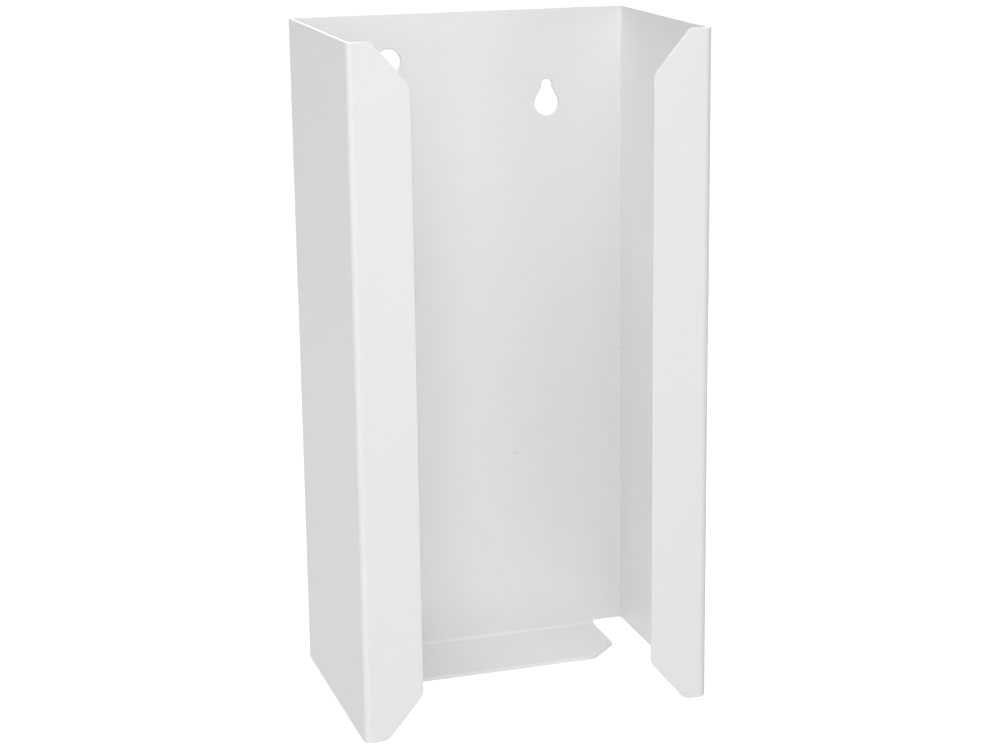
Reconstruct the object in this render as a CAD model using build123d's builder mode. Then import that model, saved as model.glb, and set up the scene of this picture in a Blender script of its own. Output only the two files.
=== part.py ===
import os

from build123d import *

# Wall-mounted holder for one carton of disposable gloves, bent from a single sheet of steel.
# Millimetres. X is the width, -Y is the front, +Y points into the wall, +Z is up.
# The origin is the centre of the back panel's rear face, where it meets the wall.

# Sheet and bends
sheet = 1.5
bend_inside = 1.2
bend_outside = bend_inside + sheet

# Channel, measured over its outer faces
width = 137.0
height = 260.0
depth = 94.0
flange_width = 23.0

# Cut corners of the two front flanges
flange_cut_width = 14.0
flange_cut_height = 16.5
flange_inner_radius = 5.0
flange_lower_radius = 5.0
flange_upper_radius = 2.5

# Shelf tab under the carton, bent forward from the bottom edge of the back panel
tab_width = 110.0
tab_reach = 37.0
tab_corner_cut = 12.0
tab_corner_radius = 2.0
tab_overlap = 5.0

# Keyholes: a round head, a tapered neck and a slot that takes the screw's shank
keyhole_head_radius = 5.0
keyhole_slot_width = 4.5
keyhole_slot_rise = 7.2
keyhole_neck_angle = 30.0

# Two keyholes side by side hang the holder upright
upright_keyhole_spacing = 71.0
upright_keyhole_drop = 37.5

# Two keyholes one above the other hang it lying on its side
sideways_keyhole_inset = 39.0
sideways_keyhole_drop = 18.5

# Cut edges, softened by deburring and the coat: rounded, and bevelled round the keyholes
edge_break = 0.4

top = height / 2
bottom = -height / 2
half_width = width / 2
opening_half_width = half_width - flange_width
tab_underside = bottom - bend_outside
strip_length = width + 2 * (depth + flange_width)

os.makedirs("parts", exist_ok=True)


def rim_edges(body):
    # Edges where a surface of the sheet, flat or bent, meets its cut thickness. The largest
    # face of cut thickness is the end of the whole strip, and every flat surface is larger.
    flats = (
        body.faces()
        .filter_by(GeomType.PLANE)
        .filter_by(lambda face: face.area > sheet * strip_length)
    )
    bends = (
        body.faces()
        .filter_by(GeomType.CYLINDER)
        .filter_by(lambda face: round(face.radius, 3) in (bend_inside, bend_outside))
    )
    edges = (flats + bends).edges()
    return ShapeList(edge for edge in edges if edges.count(edge) == 1)


# Keyhole outline, slot up, with the centre of its head at the origin. The neck's sides
# leave the head tangentially and lean in to the sides of the slot.
with BuildSketch() as keyhole:
    Circle(keyhole_head_radius)
    with BuildLine():
        touch = PolarLine(
            (0, 0), keyhole_head_radius, keyhole_neck_angle, mode=Mode.PRIVATE
        ) @ 1
        neck_side = PolarLine(
            touch,
            touch.X - keyhole_slot_width / 2,
            keyhole_neck_angle + 90,
            length_mode=LengthMode.HORIZONTAL,
        )
        shoulder = neck_side @ 1
        Polyline(shoulder, (-shoulder.X, shoulder.Y), (-touch.X, touch.Y), (0, 0), touch)
    make_face()
    with Locations((0, keyhole_slot_rise / 2)):
        Rectangle(keyhole_slot_width, keyhole_slot_rise)
    with Locations((0, keyhole_slot_rise)):
        Circle(keyhole_slot_width / 2)

# Shelf tab: a quarter bend and a flat, seen from the side. Its strip starts inside the back
# panel, so that the two are one piece where they join.
with BuildPart() as shelf_tab:
    with BuildSketch(Plane.YZ):
        with BuildLine():
            root = Line((0, bottom + tab_overlap), (-sheet, bottom + tab_overlap))
            back_side = Line(root @ 0, (0, bottom))
            outer_bend = RadiusArc(back_side @ 1, (-bend_outside, tab_underside), bend_outside)
            tab_end = Polyline(
                outer_bend @ 1,
                (-tab_reach, tab_underside),
                (-tab_reach, tab_underside + sheet),
                (-bend_outside, tab_underside + sheet),
            )
            inner_bend = RadiusArc(tab_end @ 1, (-sheet, bottom), -bend_inside)
            Line(inner_bend @ 1, root @ 1)
        make_face()
    extrude(amount=tab_width / 2, both=True)
    front_corners = shelf_tab.edges().filter_by(Axis.Z).group_by(Axis.Y)[0]
    chamfer(front_corners, tab_corner_cut)
    upright_edges = shelf_tab.edges().filter_by(Axis.Z)
    fillet(upright_edges.filter_by_position(Axis.Z, tab_underside, bottom), tab_corner_radius)
    # Only the rims below the back panel: the stub above them is inside it
    tab_rims = rim_edges(shelf_tab).filter_by_position(Axis.Z, tab_underside, bottom, (True, False))
    fillet(tab_rims, edge_break)

with BuildPart() as dispenser_body:
    # Channel section: flange, side, back, side and flange in one strip, seen from above
    with BuildSketch(Plane.XY.offset(bottom)):
        with Locations((0, -depth / 2)):
            RectangleRounded(width, depth, bend_outside)
        offset(amount=-sheet, mode=Mode.SUBTRACT)
        with Locations((0, -depth + sheet / 2)):
            Rectangle(2 * opening_half_width, sheet, mode=Mode.SUBTRACT)
    extrude(amount=height)

    # Flange corners cut back, so that the front opening flares at its top and bottom
    with BuildSketch(Plane.XZ.offset(depth)):
        with BuildLine():
            Polyline(
                (opening_half_width, top),
                (opening_half_width + flange_cut_width, top),
                (opening_half_width, top - flange_cut_height),
                close=True,
            )
        make_face()
        mirror(about=Plane.YZ)
        mirror(about=Plane.XZ)
    extrude(amount=-sheet, mode=Mode.SUBTRACT)

    flange_corners = (
        dispenser_body.edges()
        .filter_by(Axis.Y)
        .filter_by_position(Axis.Y, -depth, -depth + sheet)
        .group_by(Axis.Z)
    )
    fillet(flange_corners[0], flange_lower_radius)
    fillet(flange_corners[-1], flange_upper_radius)
    fillet(flange_corners[1] + flange_corners[-2], flange_inner_radius)

    fillet(rim_edges(dispenser_body), edge_break)

    # Keyholes through the back panel
    with BuildSketch(Plane.XZ):
        with Locations((0, top - upright_keyhole_drop)):
            with GridLocations(upright_keyhole_spacing, 0, 2, 1):
                add(keyhole.sketch)
        with Locations((-half_width + sideways_keyhole_inset, 0)):
            with GridLocations(0, height - 2 * sideways_keyhole_drop, 1, 2):
                add(keyhole.sketch, rotation=90)
    extrude(amount=sheet, mode=Mode.SUBTRACT)
    keyhole_rims = dispenser_body.edges(Select.LAST).filter_by(Axis.Y, reverse=True)
    chamfer(keyhole_rims, edge_break)

    add(shelf_tab.part)

dispenser_body.part.label = "dispenser_body"
export_step(dispenser_body.part, "parts/dispenser_body.step")
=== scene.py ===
import math

import bpy
from mathutils import Matrix, Vector


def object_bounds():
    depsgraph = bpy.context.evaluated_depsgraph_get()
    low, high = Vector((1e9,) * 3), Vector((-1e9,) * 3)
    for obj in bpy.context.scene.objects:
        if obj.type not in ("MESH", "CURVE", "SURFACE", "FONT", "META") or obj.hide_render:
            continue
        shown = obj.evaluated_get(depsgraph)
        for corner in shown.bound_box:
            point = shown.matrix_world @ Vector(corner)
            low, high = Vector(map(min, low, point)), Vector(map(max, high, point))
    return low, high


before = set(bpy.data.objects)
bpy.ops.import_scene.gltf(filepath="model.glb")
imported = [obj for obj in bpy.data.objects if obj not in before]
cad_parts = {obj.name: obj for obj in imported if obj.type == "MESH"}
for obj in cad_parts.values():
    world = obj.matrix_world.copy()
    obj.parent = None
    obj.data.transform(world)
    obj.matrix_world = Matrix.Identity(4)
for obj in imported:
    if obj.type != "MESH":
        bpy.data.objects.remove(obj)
cad_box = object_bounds()

# Image size of the photograph's frame, in pixels
IMAGE_WIDTH = 1000
IMAGE_HEIGHT = 746

# Camera, solved from the sheet's edges: place in metres, turns in degrees, lengths in pixels
CAMERA_PLACE = Vector((-0.2502, -0.8513, 0.2147))
CAMERA_YAW = 18.364
CAMERA_PITCH = 13.791
CAMERA_ROLL = 0.430
FOCAL_PIXELS = 2249.2
OPTICAL_CENTRE = (540.0, 340.0)
SENSOR_WIDTH = 36.0  # millimetres
CLIP_START = 0.05

# Powder coat: a pale neutral colour with a faint cloudiness, and the fine ripple called
# orange peel. Scales are in ripples per metre, the ripple's depth in metres. The detail is
# how many finer layers of noise lie over the first.
COAT_LIGHT = 0.905
COAT_DARK = 0.890
CLOUD_SCALE = 60.0
CLOUD_DETAIL = 3.0
PEEL_SCALE = 420.0
PEEL_DETAIL = 1.5
PEEL_DEPTH = 0.00003
SMOOTH_ROUGHNESS = 0.26
DULL_ROUGHNESS = 0.34

# Specks of dust under the coat: place, radius in metres and shade. Each fades out over the
# outer half of its radius.
SPECKS = [
    (Vector((0.0211, -0.0015, -0.0523)), 0.0006, 0.76),
    (Vector((0.0664, -0.0015, -0.0114)), 0.0006, 0.78),
    (Vector((-0.0624, -0.0940, -0.1009)), 0.0005, 0.80),
    (Vector((-0.0530, -0.0940, -0.0911)), 0.0005, 0.80),
]

# The holder hangs on a wall, so the floor lies well below it. Its own light, seen only by
# the camera and in reflections, rises with the distance as the lamps' light on it falls, so
# that it shows as plain white.
FLOOR_DROP = 0.30
FLOOR_SIZE = 12.0
FLOOR_COLOUR = 0.90
FLOOR_GLOW_NEAR = 0.48
FLOOR_GLOW_FAR = 0.94
GLOW_START = 0.2
GLOW_END = 2.6

# Square lamps round the holder: azimuth from the front towards the right and elevation, in
# degrees, then side in metres and watts
LAMP_DISTANCE = 1.8
LAMPS = {
    "overhead": (-45, 70, 2.4, 18.6),
    "key": (-30, 35, 2.0, 12.1),
    "front": (0, 25, 1.6, 7.1),
    "low_left": (-55, 5, 0.8, 2.5),
    "low_right": (16, -6, 0.6, 1.2),
    "rear": (150, 17, 1.6, 11.0),
}

# Light of the surroundings on the holder, and their white as the camera sees it
WORLD_LIGHT = 0.09
BACKDROP_WHITE = 1.0


def make_camera():
    data = bpy.data.cameras.new("camera")
    data.sensor_width = SENSOR_WIDTH
    data.lens = FOCAL_PIXELS / IMAGE_WIDTH * SENSOR_WIDTH
    data.shift_x = (IMAGE_WIDTH / 2 - OPTICAL_CENTRE[0]) / IMAGE_WIDTH
    data.shift_y = (OPTICAL_CENTRE[1] - IMAGE_HEIGHT / 2) / IMAGE_WIDTH
    data.clip_start = CLIP_START
    camera = bpy.data.objects.new("camera", data)
    bpy.context.scene.collection.objects.link(camera)
    camera.matrix_world = (
        Matrix.Translation(CAMERA_PLACE)
        @ Matrix.Rotation(math.radians(-CAMERA_YAW), 4, "Z")
        @ Matrix.Rotation(math.radians(90 - CAMERA_PITCH), 4, "X")
        @ Matrix.Rotation(math.radians(-CAMERA_ROLL), 4, "Z")
    )
    bpy.context.scene.camera = camera


class Nodes:
    """Adds nodes to a material or world and links them."""

    def __init__(self, owner):
        owner.use_nodes = True
        self.tree = owner.node_tree
        self.tree.nodes.clear()

    def add(self, kind, inputs=None, **settings):
        node = self.tree.nodes.new(kind)
        for key, value in settings.items():
            setattr(node, key, value)
        for key, value in (inputs or {}).items():
            if isinstance(value, bpy.types.NodeSocket):
                self.tree.links.new(value, node.inputs[key])
            else:
                node.inputs[key].default_value = value
        return node


def grey(level):
    return (level, level, level, 1.0)


def make_powder_coat():
    material = bpy.data.materials.new("powder_coat")
    nodes = Nodes(material)
    place = nodes.add("ShaderNodeTexCoord").outputs["Object"]
    cloud = nodes.add(
        "ShaderNodeTexNoise", {"Vector": place, "Scale": CLOUD_SCALE, "Detail": CLOUD_DETAIL}
    ).outputs["Fac"]
    colour = nodes.add(
        "ShaderNodeMix",
        {"Factor": cloud, "A": grey(COAT_DARK), "B": grey(COAT_LIGHT)},
        data_type="RGBA",
    ).outputs["Result"]
    for centre, radius, shade in SPECKS:
        away = nodes.add(
            "ShaderNodeVectorMath", {0: place, 1: centre}, operation="DISTANCE"
        ).outputs["Value"]
        inside = nodes.add(
            "ShaderNodeMapRange",
            {"Value": away, "From Min": radius, "From Max": radius / 2},
            interpolation_type="SMOOTHSTEP",
        ).outputs["Result"]
        colour = nodes.add(
            "ShaderNodeMix", {"Factor": inside, "A": colour, "B": grey(shade)}, data_type="RGBA"
        ).outputs["Result"]
    roughness = nodes.add(
        "ShaderNodeMapRange",
        {"Value": cloud, "To Min": SMOOTH_ROUGHNESS, "To Max": DULL_ROUGHNESS},
    ).outputs["Result"]
    peel = nodes.add(
        "ShaderNodeTexNoise", {"Vector": place, "Scale": PEEL_SCALE, "Detail": PEEL_DETAIL}
    ).outputs["Fac"]
    ripple = nodes.add(
        "ShaderNodeBump", {"Height": peel, "Distance": PEEL_DEPTH}
    ).outputs["Normal"]
    shader = nodes.add(
        "ShaderNodeBsdfPrincipled",
        {"Base Color": colour, "Roughness": roughness, "Normal": ripple},
    )
    nodes.add("ShaderNodeOutputMaterial", {"Surface": shader.outputs["BSDF"]})
    return material


def seen_directly(nodes):
    # 1 for what the camera sees, and for what it sees reflected or through glass
    path = nodes.add("ShaderNodeLightPath")
    mirrored = nodes.add(
        "ShaderNodeMath",
        {0: path.outputs["Is Camera Ray"], 1: path.outputs["Is Glossy Ray"]},
        operation="MAXIMUM",
    )
    return nodes.add(
        "ShaderNodeMath",
        {0: mirrored.outputs[0], 1: path.outputs["Is Transmission Ray"]},
        operation="MAXIMUM",
    ).outputs[0]


def make_world():
    world = bpy.data.worlds.new("studio")
    bpy.context.scene.world = world
    nodes = Nodes(world)
    lighting = nodes.add("ShaderNodeBackground", {"Color": grey(1.0), "Strength": WORLD_LIGHT})
    backdrop = nodes.add("ShaderNodeBackground", {"Color": grey(1.0), "Strength": BACKDROP_WHITE})
    mixed = nodes.add(
        "ShaderNodeMixShader",
        {0: seen_directly(nodes), 1: lighting.outputs[0], 2: backdrop.outputs[0]},
    )
    nodes.add("ShaderNodeOutputWorld", {"Surface": mixed.outputs[0]})


def make_floor():
    mesh = bpy.data.meshes.new("floor")
    height = cad_box[0][2] - FLOOR_DROP
    half = FLOOR_SIZE / 2
    corners = [
        (-half, -half, height),
        (half, -half, height),
        (half, half, height),
        (-half, half, height),
    ]
    mesh.from_pydata(corners, [], [(0, 1, 2, 3)])
    floor = bpy.data.objects.new("floor", mesh)
    bpy.context.scene.collection.objects.link(floor)
    material = bpy.data.materials.new("floor")
    nodes = Nodes(material)
    diffuse = nodes.add("ShaderNodeBsdfDiffuse", {"Color": grey(FLOOR_COLOUR)})
    place = nodes.add("ShaderNodeTexCoord").outputs["Object"]
    below = nodes.add("ShaderNodeVectorMath", {0: place, 1: (0, 0, height)}, operation="DISTANCE")
    strength = nodes.add(
        "ShaderNodeMapRange",
        {
            "Value": below.outputs["Value"],
            "From Min": GLOW_START,
            "From Max": GLOW_END,
            "To Min": FLOOR_GLOW_NEAR,
            "To Max": FLOOR_GLOW_FAR,
        },
    )
    glow = nodes.add(
        "ShaderNodeEmission", {"Color": grey(1.0), "Strength": strength.outputs["Result"]}
    )
    lifted = nodes.add("ShaderNodeAddShader", {0: diffuse.outputs[0], 1: glow.outputs[0]})
    surface = nodes.add(
        "ShaderNodeMixShader",
        {0: seen_directly(nodes), 1: diffuse.outputs[0], 2: lifted.outputs[0]},
    )
    nodes.add("ShaderNodeOutputMaterial", {"Surface": surface.outputs[0]})
    mesh.materials.append(material)


def make_lamps():
    middle = (cad_box[0] + cad_box[1]) / 2
    for name, (azimuth, elevation, size, watts) in LAMPS.items():
        data = bpy.data.lights.new(name, "AREA")
        data.shape = "SQUARE"
        data.size = size
        data.energy = watts
        lamp = bpy.data.objects.new(name, data)
        lamp.visible_camera = False
        bpy.context.scene.collection.objects.link(lamp)
        turn = Matrix.Rotation(math.radians(azimuth), 4, "Z")
        tilt = Matrix.Rotation(math.radians(90 - elevation), 4, "X")
        lamp.matrix_world = (
            Matrix.Translation(middle) @ turn @ tilt @ Matrix.Translation((0, 0, LAMP_DISTANCE))
        )


make_camera()
make_world()
make_floor()
make_lamps()
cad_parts["dispenser_body"].material_slots[0].material = make_powder_coat()

bpy.context.scene.view_settings.view_transform = "Standard"
